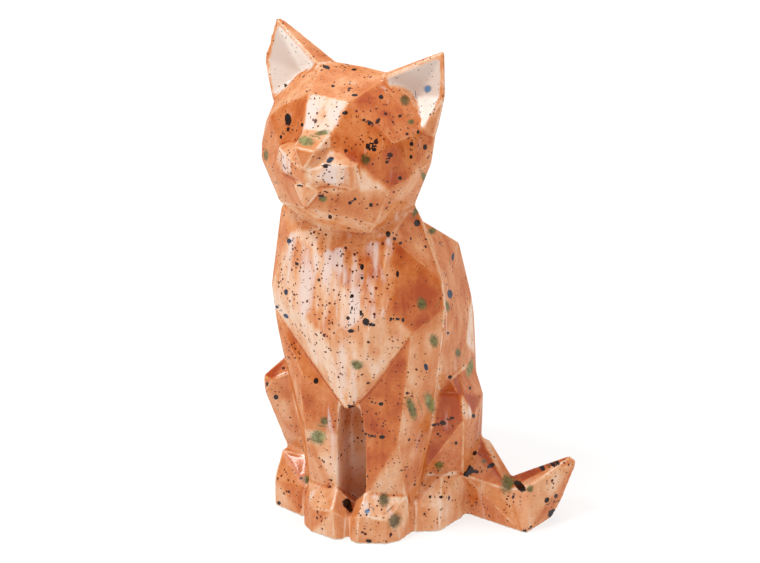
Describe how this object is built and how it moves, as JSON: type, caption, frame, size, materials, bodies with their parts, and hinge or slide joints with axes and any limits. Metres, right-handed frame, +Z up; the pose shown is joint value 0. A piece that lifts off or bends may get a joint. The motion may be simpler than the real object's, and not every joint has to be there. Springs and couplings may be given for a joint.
{
  "type": "glazed ceramic cat figurine",
  "caption": "Seated cat figurine in glossy speckled glaze, cut in flat facets, head turned, tail round one side with a raised tip.",
  "frame": {"origin": "on the flat underside, on the middle plane of the body, between the front legs and the rump", "axes": "+Z up, the cat faces -Y, its left side is +X"},
  "size_m": [0.1104, 0.102, 0.178],
  "materials": {
    "glaze": "gloss"
  },
  "bodies": {
    "root": {"cat": "glaze"}
  },
  "joints": []
}
